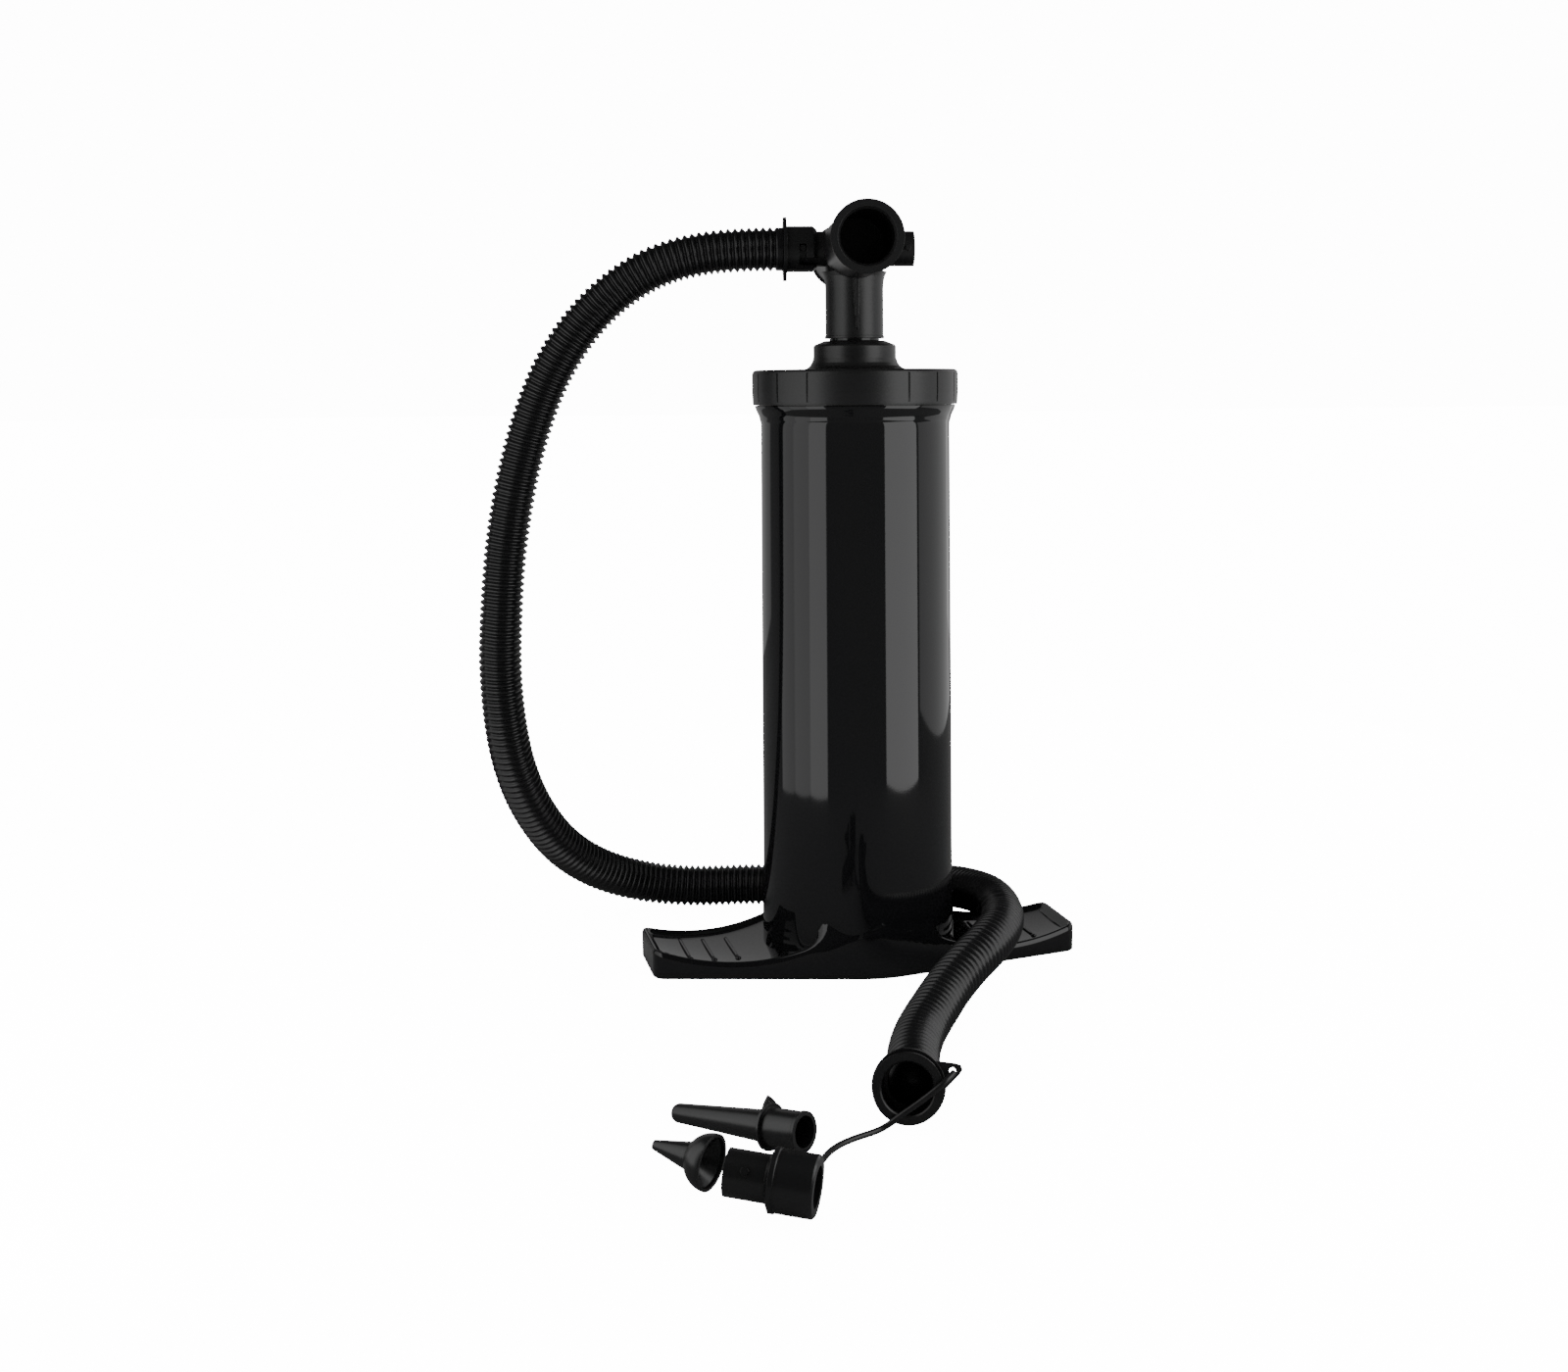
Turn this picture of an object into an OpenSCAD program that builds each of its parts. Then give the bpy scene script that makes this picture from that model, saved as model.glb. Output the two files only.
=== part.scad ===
/* [Barrel] */
// Outer radius of the barrel at its top
barrel_r = 61.2; // [55:0.1:66]
// Outer radius of the barrel just above the foot
barrel_foot_r = 61.8; // [54:0.1:66]
// Wall thickness of the barrel
barrel_wall = 3.2; // [2.5:0.1:3.4]
// Height of the shoulder that the collar cap stands on
shoulder_z = 360.5; // [330:0.5:380]

/* [Foot] */
// Half length of the foot along its two treads
foot_half = 140; // [125:1:160]
// Half depth of the foot where it wraps the barrel
foot_mid_r = 63.2; // [62.5:0.1:70]
// Corner radius at the ends of the treads
foot_corner_r = 9; // [6:0.5:12]
// Slope of the long sides of the foot, in degrees
foot_taper = 13.8; // [12:0.1:15]
// Radius of the hollow curve of the tread tops
tread_r = 138; // [120:0.5:150]
// Height of the lowest point of the tread rims
tread_low_z = 11; // [10:0.5:14]
// Distance from the barrel axis to that lowest point
tread_low_x = 92; // [85:1:98]

/* [Cap] */
// Outer radius of the collar cap
cap_r = 66.8; // [65:0.1:70]
// Height of the collar cap
cap_h = 22.6; // [20:0.1:26]
// Turn of the collar cap about the barrel axis
cap_yaw = -12; // [-180:1:180]
// Radius of the neck boss that guides the rod
neck_r = 26.8; // [24:0.1:30]
// Top of the neck boss
neck_top_z = 402; // [395:0.5:405]

/* [Handle] */
// Turn of the handle about the barrel axis
handle_yaw = -9; // [-30:1:30]
// Half length of the crossbar
grip_half = 95; // [80:1:120]
// Outer radius of the crossbar
grip_r = 21; // [18:0.1:22]
// Outer radius of the rim at each end of the crossbar
grip_rim_r = 22.5; // [18:0.1:23]
// Radius of the hollow in each end of the crossbar
grip_bore_r = 16.5; // [13:0.1:18]
// Height of the crossbar axis
grip_z = 462.5; // [458:0.5:466]
// Outer radius of the stem below the crossbar
stem_r = 18.8; // [18:0.1:21]
// Outer radius of the two air ports
port_r = 11.4; // [10:0.1:12]
// Reach of each air port from the barrel axis
port_reach = 38.5; // [36:0.5:44]

/* [Rod and piston] */
// Outer radius of the rod tube
rod_r = 16.2; // [15:0.1:17]
// Outer radius of the inner air tube
air_r = 9; // [8:0.1:9.5]
// Running clearance of the rod and the seal
run_gap = 0.05; // [0.01:0.01:0.1]
// Travel of each valve poppet
valve_lift = 2; // [1:0.1:2.5]

/* [Hose] */
// Outer radius of the corrugated hose
hose_r = 14.2; // [12:0.1:14.5]
// Radius of the tether cord
tether_r = 1.6; // [1:0.1:1.8]

/* [Hidden] */
$fn = 96;

black = [0.07, 0.07, 0.075];
satin_black = [0.12, 0.12, 0.125];
rubber_black = [0.05, 0.05, 0.05];
moulded_grey = [0.55, 0.55, 0.56];
steel = [0.7, 0.7, 0.72];

eps = 0.01;
bore_r = barrel_r - barrel_wall;
barrel_floor_z = 12;
barrel_floor_t = 3;
barrel_in_z = barrel_floor_z + barrel_floor_t;
neck_thread_r = 60.4;
rim_z = shoulder_z + 17;
cap_z = shoulder_z + 0.3;
cap_top_z = cap_z + cap_h;
cap_hole_r = 33.6;
cap_roof_t = 2.9;
gasket_t = 1.2;
cover_z = rim_z + gasket_t;
cover_t = cap_top_z - cap_roof_t - cover_z;
skin = 3;

// tangent points of the foot outline: on the barrel circle and on the corner circle
corner_x = foot_half - foot_corner_r;
corner_y = foot_mid_r / cos(foot_taper) - corner_x * tan(foot_taper)
           - foot_corner_r / cos(foot_taper);
tread_axis_z = tread_low_z + tread_r;
tray_depth = 3.2;
screw_x = 118;
screw_y = 20;
post_z = 3.05;

stem_foot_z = 403.6;
stem_r_out = stem_r + 0.5;
port_z = 461.4;
port_bore_r = 8.2;
port_mouth_r = 9;
port_mouth_len = 14;
pin_r = 1.9;
pin_back = 4.6;
grip_bore_depth = 66;
rod_bottom_z = 40;
rod_top_z = 438;
rod_wall = 2;
air_wall = 1.4;
air_top_z = 470;

piston_r = bore_r - 0.4;
piston_z = 16.6;
plate_t = 5;
plenum_r = 51;
plenum_wall = 3;
lower_top_z = 36;
upper_z = lower_top_z;
upper_t = 4;
seal_z = piston_z + plate_t + 0.1;
seal_h = 5;
wall_x = -9.9;
valve_r = 9;
valve_t = 1.3;
valve_stem_r = 1.9;
valve_x = 31;
valve_hole_r = 1.8;
valve_hole_pcd_r = 5.4;
inlet_recess = 3.6;
outlet_recess = 3.2;

cuff_r = 14.8;
cuff_bore_r = port_r + 0.05;
cuff_mouth_x = 24.5;
cuff_len = 19.4;
cuff_flange_t = 2.2;
slot_w = 4.6;

hose_in_r = 11.8;

// The free end of the hose: middle of the mouth, and the way the mouth faces
end_mouth = [-53, -312, 20.3];
end_yaw = 250;
end_tilt = 8;
end_len = 26;
end_r = 17;
end_bore_r = 13.25;

// Route of the hose, from the cuff on the handle to the cuff at its free end
hose_start = [-(cuff_mouth_x + cuff_len + cuff_flange_t) * cos(handle_yaw),
              -(cuff_mouth_x + cuff_len + cuff_flange_t) * sin(handle_yaw), port_z];
end_dir = [cos(end_tilt) * cos(end_yaw), cos(end_tilt) * sin(end_yaw), sin(end_tilt)];
hose_end = end_mouth - end_len * end_dir;
hose_route = [
    [-70, 11, 461], [-95, 16, 459], [-120, 21, 453], [-142, 27, 442], [-163, 33, 425],
    [-181, 38, 403], [-196, 44, 376], [-208, 49, 342], [-217, 52, 305], [-223, 56, 266],
    [-226, 58, 228], [-227, 63, 190], [-224, 70, 152], [-217, 81, 118], [-204, 96, 86],
    [-184, 113, 57], [-157, 130, 35], [-124, 141, 21], [-87, 142, 15], [-45, 136, 15],
    [-3, 124, 15], [36, 105, 17], [65, 79, 22], [84, 46, 27], [92, 7, 30],
    [88, -32, 30], [76, -66, 29], [57, -97, 27], [37, -123, 24], [18, -149, 20],
    [1, -177, 17], [-15, -206, 15], [-27, -234, 15], [-35, -258, 15.5]];

// Route of the tether, from the lug on the free cuff to the nozzles
tether_route = [
    [-30, -315.5, 28], [-35, -320, 26], [-41, -321, 22], [-49, -319, 15.5], [-58, -317, 9],
    [-65, -315, 3.5], [-72, -317, 1.8], [-82, -322, 1.7], [-92, -329, 1.7], [-100, -338, 1.7],
    [-107, -350, 1.7], [-114, -362, 1.7], [-121, -373, 1.7], [-127, -380, 1.9],
    [-132, -383.5, 3]];

// Small nozzles: where each right-hand end lies and the way the nozzle points
adapter_at = [-121.5, -409, 14.8];
adapter_yaw = 155;
adapter_tilt = 5;
adapter_len = 42;
adapter_r = 10.8;
adapter_cuff_r = 14.1;
adapter_bore_r = 9.3;
adapter_flange_x = 18;
adapter_flange_r = 14.6;
dome_at = [-162.5, -368.5, 14];
dome_yaw = 140;
dome_r = 13.4;
dome_tilt = 6;
tip_len = 21;
cone_at = [-112, -339.5, 13.6];
cone_yaw = 131;
cone_tilt = 5.5;
cone_socket_len = 20;
cone_socket_r = 9.4;
cone_flange_r = 11.4;
cone_len = 58;

// Cuts a ring whose section is w wide and h high from a round piece
module ring(r_out, r_in, h) {
    difference() {
        cylinder(r = r_out, h = h);
        translate([0, 0, -1]) cylinder(r = r_in, h = h + 2);
    }
}

// Lies a piece made along +Z down along +X
module along_x() {
    rotate([0, 90, 0]) children();
}

// Plan of the foot, drawn in by a margin
module foot_plan(margin = 0) {
    r = foot_mid_r - margin;
    c = foot_corner_r - margin;
    turn = 90 - foot_taper;
    quarter = [for (i = [0:6]) [corner_x + c * cos(turn * i / 6), corner_y + c * sin(turn * i / 6)]];
    half = concat(quarter, [[r * sin(foot_taper), r * cos(foot_taper)]]);
    n = len(half);
    polygon(concat(
        half,
        [for (i = [n - 1:-1:0]) [-half[i][0], half[i][1]]],
        [for (i = [0:n - 1]) [-half[i][0], -half[i][1]]],
        [for (i = [n - 1:-1:0]) [half[i][0], -half[i][1]]]));
}

// A cylinder across the foot whose underside is the top of a tread, sunk by a depth
module tread_hollow(side, sunk = 0) {
    translate([side * tread_low_x, 0, tread_axis_z]) rotate([90, 0, 0])
        cylinder(r = tread_r + sunk, h = 160, center = true, $fn = 240);
}

module foot_block(margin, height, sunk) {
    difference() {
        linear_extrude(height) foot_plan(margin);
        for (side = [-1, 1]) tread_hollow(side, sunk);
    }
}

// Three low ribs across a tread, each ending in a round dot
module tread_ribs(side) {
    for (i = [0:2]) {
        x = side * (86 + 15.5 * i);
        dx = abs(x) - tread_low_x;
        surface_z = tread_axis_z - sqrt(pow(tread_r + tray_depth, 2) - dx * dx);
        translate([x - 1.2, -8, surface_z - 1]) cube([2.4, 27, 2.6]);
        translate([x, -8, surface_z - 1]) cylinder(r = 1.9, h = 2.9, $fn = 32);
    }
}

// One-sided tray cut inside the rim of a tread
module tray(side) {
    intersection() {
        linear_extrude(60) foot_plan(4);
        tread_hollow(side, tray_depth);
    }
}

module barrel_body() {
    color(black) difference() {
        union() {
            difference() {
                foot_block(0, 31, 0);
                for (side = [-1, 1]) tray(side);
            }
            for (side = [-1, 1]) tread_ribs(side);
            // barrel with its slight draft, the flared shoulder and the thread neck
            rotate_extrude() polygon([
                [0, 0], [foot_mid_r + 0.2, 0], [foot_mid_r - 0.2, 31], [barrel_foot_r + 0.2, 58],
                [barrel_foot_r, 72], [barrel_r, shoulder_z - 12],
                [barrel_r + 0.9, shoulder_z - 9], [barrel_r + 2.2, shoulder_z - 5],
                [65, shoulder_z], [neck_thread_r, shoulder_z], [neck_thread_r, rim_z],
                [0, rim_z]]);
            // raised turns that the collar cap screws down on
            for (i = [0:2]) translate([0, 0, shoulder_z + 4 + 4 * i]) cylinder(r = neck_thread_r + 1.1, h = 1.2);
        }
        translate([0, 0, barrel_in_z]) cylinder(r = bore_r, h = 400);
        // hollow underside of the foot, with posts for the screws of its cover
        difference() {
            translate([0, 0, -1]) foot_block(skin, barrel_floor_z + 1, tray_depth + skin);
            for (side = [-1, 1]) for (end = [-1, 1])
                translate([side * screw_x, end * screw_y, post_z]) cylinder(r = 4, h = 30);
        }
        for (side = [-1, 1]) for (end = [-1, 1])
            translate([side * screw_x, end * screw_y, -1]) cylinder(r = 1.5, h = 9.8);
    }
}

module base_cover() {
    color(satin_black) difference() {
        translate([0, 0, 0.8]) linear_extrude(2.2) foot_plan(skin + 0.3);
        for (side = [-1, 1]) for (end = [-1, 1]) translate([side * screw_x, end * screw_y, 0]) {
            cylinder(r = 1.7, h = 10);
            cylinder(r = 4, h = 1.9);
        }
    }
}

module base_screws() {
    color(steel) for (side = [-1, 1]) for (end = [-1, 1])
        translate([side * screw_x, end * screw_y, 1]) {
            cylinder(r = 3.6, h = 0.9);
            cylinder(r = 1.45, h = 7.4);
        }
}

module collar_cap() {
    color(satin_black) rotate([0, 0, cap_yaw]) difference() {
        rotate_extrude($fn = 180) polygon([
            [62, cap_z], [cap_r - 0.7, cap_z], [cap_r - 0.4, cap_z + 1.2], [cap_r, cap_z + 8],
            [cap_r, cap_top_z - 3], [cap_r - 0.3, cap_top_z - 1.6], [cap_r - 1.1, cap_top_z - 0.5],
            [cap_r - 2.4, cap_top_z], [cap_hole_r, cap_top_z],
            [cap_hole_r, cap_top_z - cap_roof_t], [61.9, cap_top_z - cap_roof_t],
            [61.9, cap_z]]);
        // grip grooves on both flanks, leaving the front and the back plain
        for (side = [-1, 1]) for (i = [0:6])
            rotate([0, 0, -90 + side * (28.3 + 20.6 * i)])
                translate([cap_r - 0.8, -0.6, cap_z + 2]) cube([3, 1.2, cap_h - 4.2]);
    }
}

module top_cover() {
    color(satin_black) difference() {
        rotate_extrude($fn = 120) polygon([
            [0, cover_z], [60.2, cover_z], [60.2, cover_z + cover_t - 0.05],
            [cap_hole_r - 0.3, cover_z + cover_t - 0.05], [cap_hole_r - 0.3, cap_top_z + 0.4],
            [31.2, cap_top_z + 1], [29.4, cap_top_z + 2.3], [28, cap_top_z + 4.4],
            [neck_r + 0.1, cap_top_z + 7.4], [neck_r, cap_top_z + 9], [neck_r, neck_top_z - 3.6],
            [neck_r - 1, neck_top_z - 2.4], [19.8, neck_top_z], [0, neck_top_z]]);
        translate([0, 0, cover_z - 1]) cylinder(r = 21.05, h = 20);
        translate([0, 0, cover_z - 1]) cylinder(r = rod_r + 0.5, h = 60);
    }
}

module cover_gasket() {
    color(rubber_black) translate([0, 0, rim_z]) ring(60, 57.9, gasket_t);
}

module rod_bush() {
    color(moulded_grey) translate([0, 0, cover_z]) ring(21, rod_r + run_gap, 13);
}

module rod_wiper() {
    color(rubber_black) translate([0, 0, cover_z + 13.2]) ring(21, rod_r + 0.08, 5.4);
}

// One bayonet port: a short tube with two round pins
module port(side) {
    translate([side * 10, 0, port_z]) rotate([0, side * 90, 0]) cylinder(r = port_r, h = port_reach - 10);
    translate([side * (port_reach - pin_back), 0, port_z]) rotate([90, 0, 0])
        cylinder(r = pin_r, h = 2 * port_r + 4.6, center = true, $fn = 40);
}

module gusset(end) {
    // upright web between the stem and the crossbar, thick at its top
    rotate([0, 0, end > 0 ? 180 : 0]) for (i = [0:3]) {
        t = 1.6 + 1.1 * i;
        translate([-t / 2, 0, 0]) rotate([90, 0, 90]) linear_extrude(t) polygon([
            [-stem_r + 1, 408 + 8 * i], [-stem_r - 0.9, 410 + 8 * i],
            [-stem_r - 5.4, 445], [-stem_r + 1, 445]]);
    }
}

module handle() {
    color(satin_black) rotate([0, 0, handle_yaw]) difference() {
        union() {
            translate([0, 0, grip_z]) rotate([90, 0, 0]) {
                cylinder(r = grip_r, h = 2 * grip_half - 2, center = true, $fn = 120);
                for (end = [-1, 1]) translate([0, 0, end * (grip_half - 1.75)])
                    cylinder(r = grip_rim_r, h = 3.5, center = true, $fn = 120);
            }
            translate([0, 0, stem_foot_z]) cylinder(r = stem_r_out, h = 1.6);
            translate([0, 0, stem_foot_z]) cylinder(r = stem_r, h = grip_z - stem_foot_z);
            // hollow-cheeked blend of the stem into the crossbar
            rotate_extrude() polygon([
                [0, 436], [stem_r, 436], [stem_r + 0.3, 440], [stem_r + 1.1, 443.6],
                [stem_r + 2.4, 446.5], [0, 446.5]]);
            for (side = [-1, 1]) port(side);
            for (end = [-1, 1]) gusset(end);
        }
        // socket for the rod tube and the two air ways above it
        translate([0, 0, stem_foot_z - 1]) cylinder(r = rod_r + 0.04, h = rod_top_z - stem_foot_z + 1);
        translate([0, 0, rod_top_z - 1]) cylinder(r = air_r + 0.02, h = air_top_z - rod_top_z + 1);
        intersection() {
            translate([0, 0, rod_top_z - 1]) cylinder(r = 14, h = 24);
            translate([0, -20, 400]) cube([20, 40, 80]);
        }
        for (side = [-1, 1]) translate([0, 0, port_z]) rotate([0, side * 90, 0])
            union() {
                cylinder(r = port_bore_r, h = port_reach + 1);
                translate([0, 0, port_reach - port_mouth_len]) cylinder(r = port_mouth_r, h = 40);
            }
        for (end = [-1, 1]) translate([0, end * (grip_half + 1), grip_z]) rotate([end * 90, 0, 0]) {
            cylinder(r = grip_bore_r, h = grip_bore_depth + 1, $fn = 120);
            cylinder(r1 = grip_bore_r + 2.2, r2 = grip_bore_r, h = 3.2, $fn = 120);
        }
        for (x = [-8, 8]) translate([x, 5, 420]) rotate([-90, 0, 0]) {
            cylinder(r = 1.3, h = 30);
            translate([0, 0, 11.6]) cylinder(r = 2.9, h = 20);
        }
    }
}

module handle_screws() {
    color(steel) rotate([0, 0, handle_yaw]) for (x = [-8, 8])
        translate([x, 0, 420]) rotate([-90, 0, 0]) {
            translate([0, 0, 12.5]) cylinder(r = 1.25, h = 4.5);
            translate([0, 0, 16.6]) cylinder(r = 2.7, h = 1.4);
        }
}

module rod_tube() {
    color(black) rotate([0, 0, handle_yaw]) difference() {
        translate([0, 0, rod_bottom_z]) ring(rod_r, rod_r - rod_wall, rod_top_z - rod_bottom_z - 0.1);
        for (x = [-8, 8]) translate([x, 5, 420]) rotate([-90, 0, 0]) cylinder(r = 1.3, h = 30);
    }
}

module air_tube() {
    color(moulded_grey) rotate([0, 0, handle_yaw]) difference() {
        translate([0, 0, upper_z - 3]) ring(air_r, air_r - air_wall, air_top_z - upper_z + 2.9);
        translate([0, 0, port_z]) rotate([0, -90, 0]) cylinder(r = 5.5, h = 20);
    }
}

// Holes of one valve seat: six air holes round the hole that guides the poppet
module valve_seat(x, z, h) {
    translate([x, 0, z]) {
        cylinder(r = valve_stem_r + 0.08, h = h);
        for (a = [0:60:300]) rotate([0, 0, a]) translate([valve_hole_pcd_r, 0, 0])
            cylinder(r = valve_hole_r, h = h, $fn = 32);
    }
}

module piston_lower() {
    color(moulded_grey) rotate([0, 0, handle_yaw]) difference() {
        union() {
            translate([0, 0, piston_z]) cylinder(r = piston_r, h = plate_t);
            translate([0, 0, piston_z]) ring(plenum_r, plenum_r - plenum_wall, lower_top_z - piston_z);
            translate([0, 0, seal_z + seal_h + 0.1]) ring(piston_r, plenum_r - 1, 3);
            intersection() {
                translate([wall_x - 0.8, -60, piston_z]) cube([1.6, 120, lower_top_z - piston_z]);
                cylinder(r = plenum_r - 1, h = 100);
            }
            for (a = [45:90:315]) rotate([0, 0, a]) translate([41, 0, piston_z])
                cylinder(r = 4, h = lower_top_z - piston_z);
        }
        valve_seat(valve_x, 10, 20);
        valve_seat(-valve_x, 10, 20);
        translate([-valve_x, 0, piston_z - 1]) cylinder(r = valve_r + 1, h = inlet_recess + 1);
        translate([valve_x, 0, piston_z - 1]) cylinder(r = valve_r - 0.5, h = outlet_recess + 1);
        for (a = [45:90:315]) rotate([0, 0, a]) translate([41, 0, 22]) cylinder(r = 1.4, h = 30);
    }
}

module piston_upper() {
    color(moulded_grey) rotate([0, 0, handle_yaw]) difference() {
        union() {
            translate([0, 0, upper_z]) cylinder(r = plenum_r, h = upper_t);
            translate([0, 0, upper_z]) cylinder(r = 20.5, h = 22);
        }
        translate([0, 0, upper_z + upper_t]) cylinder(r = rod_r + 0.02, h = 60);
        translate([0, 0, upper_z - 1]) cylinder(r = air_r + 0.02, h = 60);
        for (a = [-20, 0, 20]) rotate([0, 0, 180 + a]) translate([12.4, 0, upper_z - 1])
            cylinder(r = 1.4, h = 10, $fn = 32);
        valve_seat(valve_x, upper_z - 2, 10);
        valve_seat(-valve_x, upper_z - 2, 10);
        for (a = [45:90:315]) rotate([0, 0, a]) translate([41, 0, upper_z - 1]) cylinder(r = 1.7, h = 20);
    }
}

module piston_screws() {
    color(steel) rotate([0, 0, handle_yaw]) for (a = [45:90:315]) rotate([0, 0, a])
        translate([41, 0, 0]) {
            translate([0, 0, upper_z - 11]) cylinder(r = 1.35, h = 11 + upper_t + 0.1);
            translate([0, 0, upper_z + upper_t]) cylinder(r = 3, h = 1.8);
        }
}

module piston_seal() {
    color(rubber_black) translate([0, 0, seal_z]) ring(bore_r - run_gap, plenum_r + run_gap, seal_h);
}

// Poppet of a one-way valve: disc on one side of its seat, stem and button on the other
module poppet(seat_t) {
    cylinder(r = valve_r, h = valve_t);
    translate([0, 0, -seat_t - valve_lift - 0.5]) cylinder(r = valve_stem_r, h = seat_t + valve_lift + 1);
    translate([0, 0, -seat_t - valve_lift - 1.5]) cylinder(r = 3, h = 1.2);
}

module valve(x, z, up, seat_t) {
    color(rubber_black) rotate([0, 0, handle_yaw]) translate([x, 0, z])
        rotate([up ? 0 : 180, 0, 0]) poppet(seat_t);
}

module outlet_valve_lower() { valve(valve_x, piston_z + plate_t, true, plate_t - outlet_recess); }
module inlet_valve_lower() { valve(-valve_x, piston_z + inlet_recess, false, plate_t - inlet_recess); }
module inlet_valve_upper() { valve(-valve_x, upper_z + upper_t, true, upper_t); }
module outlet_valve_upper() { valve(valve_x, upper_z, false, upper_t); }

module pump_hose_cuff() {
    step = port_reach - cuff_mouth_x + 0.05;
    whole = cuff_len + cuff_flange_t;
    color(satin_black) rotate([0, 0, handle_yaw]) translate([0, 0, port_z]) difference() {
        translate([-cuff_mouth_x, 0, 0]) rotate([0, -90, 0]) difference() {
            union() {
                rotate_extrude() polygon([[0, 0], [cuff_r - 2.2, 0], [cuff_r, 2.5], [cuff_r, cuff_len],
                    [17.2, cuff_len], [17.2, whole], [0, whole]]);
                // two ears of the flange
                translate([0, 0, cuff_len]) linear_extrude(cuff_flange_t) polygon([
                    [-20.4, -3], [-20.4, 3], [-15, 7], [15, 7], [20.4, 3], [20.4, -3],
                    [15, -7], [-15, -7]]);
            }
            rotate_extrude() polygon([[0, -1], [cuff_bore_r, -1], [cuff_bore_r, step],
                [port_bore_r, step], [port_bore_r, whole + 1], [0, whole + 1]]);
        }
        // the two hooked slots that lock on the port's pins
        for (turn = [0, 180]) rotate([turn, 0, 0]) {
            translate([-(port_reach - pin_back) - slot_w / 2, -30, -11]) cube([slot_w, 24, 13.4]);
            translate([-(port_reach - pin_back), -30, -11]) cube([20, 25, slot_w]);
        }
    }
}

// Ring of points round one station of a swept tube
function unit(v) = v / norm(v);
function tangent(p, i) = unit(p[min(i + 1, len(p) - 1)] - p[max(i - 1, 0)]);
function side_of(t) = unit(abs(t[2]) > 0.9 ? cross([1, 0, 0], t) : cross([0, 0, 1], t));
function station(p, i, r, n) =
    let (t = tangent(p, i), u = side_of(t), v = cross(t, u))
    [for (k = [0:n - 1]) p[i] + r * (cos(360 * k / n) * u + sin(360 * k / n) * v)];

// Rod swept along a route as one closed polyhedron
module swept_rod(p, r, n) {
    m = len(p);
    walls = [for (i = [0:m - 2]) for (k = [0:n - 1])
        [(i + 1) * n + k, (i + 1) * n + (k + 1) % n, i * n + (k + 1) % n, i * n + k]];
    ends = [[for (k = [0:n - 1]) k], [for (k = [0:n - 1]) m * n - 1 - k]];
    polyhedron([for (i = [0:m - 1]) each station(p, i, r, n)], concat(walls, ends), convexity = 6);
}

// Hollow tube swept along a route: outer skin, inner skin and an annulus at each end
module swept_tube(p, r, r_in, n) {
    m = len(p);
    inner = m * n;
    last = (m - 1) * n;
    outer_walls = [for (i = [0:m - 2]) for (k = [0:n - 1])
        [(i + 1) * n + k, (i + 1) * n + (k + 1) % n, i * n + (k + 1) % n, i * n + k]];
    inner_walls = [for (w = outer_walls) [for (q = [3:-1:0]) inner + w[q]]];
    start = [for (k = [0:n - 1]) [k, (k + 1) % n, inner + (k + 1) % n, inner + k]];
    finish = [for (f = start) [for (q = [3:-1:0]) last + f[q]]];
    polyhedron(concat([for (i = [0:m - 1]) each station(p, i, r, n)],
        [for (i = [0:m - 1]) each station(p, i, r_in, n)]),
        concat(outer_walls, inner_walls, start, finish), convexity = 8);
}

module hose() {
    port_dir = [-cos(handle_yaw), -sin(handle_yaw), 0];
    color(black) swept_tube(concat([hose_start, hose_start + 4 * port_dir], hose_route,
        [hose_end - 5 * end_dir, hose_end]), hose_r, hose_in_r, 12);
}

// Places a piece made along +X, mouth at the origin, at the free end of the hose
module at_end() {
    translate(end_mouth) rotate([0, 0, end_yaw]) rotate([0, -end_tilt, 0]) children();
}

module end_hose_cuff() {
    lug_turn = 69;
    color(satin_black) at_end() rotate([0, -90, 0]) difference() {
        union() {
            rotate_extrude() polygon([[0, 0], [end_r + 1, 0], [end_r + 1, 1.6], [end_r, 2],
                [end_r, 6], [end_r + 1.8, 6], [end_r + 1.8, 8.4], [end_r, 8.4], [end_r, 16],
                [hose_r + 0.4, end_len - 3], [hose_r + 0.4, end_len], [0, end_len]]);
            // tether lug on the rim
            rotate([0, 0, lug_turn]) translate([0, 0, 6.3]) linear_extrude(1.8) polygon([
                [5, -13], [26, -3], [28.5, -1.2], [28.5, 1.2], [26, 3], [5, 13]]);
        }
        rotate_extrude() polygon([[0, -1], [end_bore_r + 1.8, -1], [end_bore_r, 0.8],
            [end_bore_r, 16], [11.5, 16], [11.5, end_len + 1], [0, end_len + 1]]);
        rotate([0, 0, lug_turn]) translate([23.6, 0, 0]) cylinder(r = 1.8, h = 20);
    }
}

module tether() {
    color(satin_black) swept_rod(tether_route, tether_r, 8);
}

module wide_adapter() {
    color(satin_black) translate(adapter_at) rotate([0, 0, adapter_yaw]) rotate([0, -adapter_tilt, 0])
        along_x() difference() {
            union() {
                rotate_extrude() polygon([[0, 0], [adapter_cuff_r - 0.8, 0], [adapter_cuff_r, 1],
                    [adapter_cuff_r, adapter_flange_x], [adapter_flange_r, adapter_flange_x + 0.4],
                    [adapter_flange_r, adapter_flange_x + 2.6], [adapter_r, adapter_flange_x + 4.6],
                    [adapter_r, adapter_len], [0, adapter_len]]);
                // bayonet pins
                for (a = [120, 300]) rotate([0, 0, a]) translate([adapter_r - 1.2, 0, 32])
                    rotate([0, 90, 0]) cylinder(r = 1.9, h = 2.4, $fn = 40);
            }
            translate([0, 0, -1]) cylinder(r = adapter_bore_r, h = adapter_len + 2);
        }
}

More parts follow.
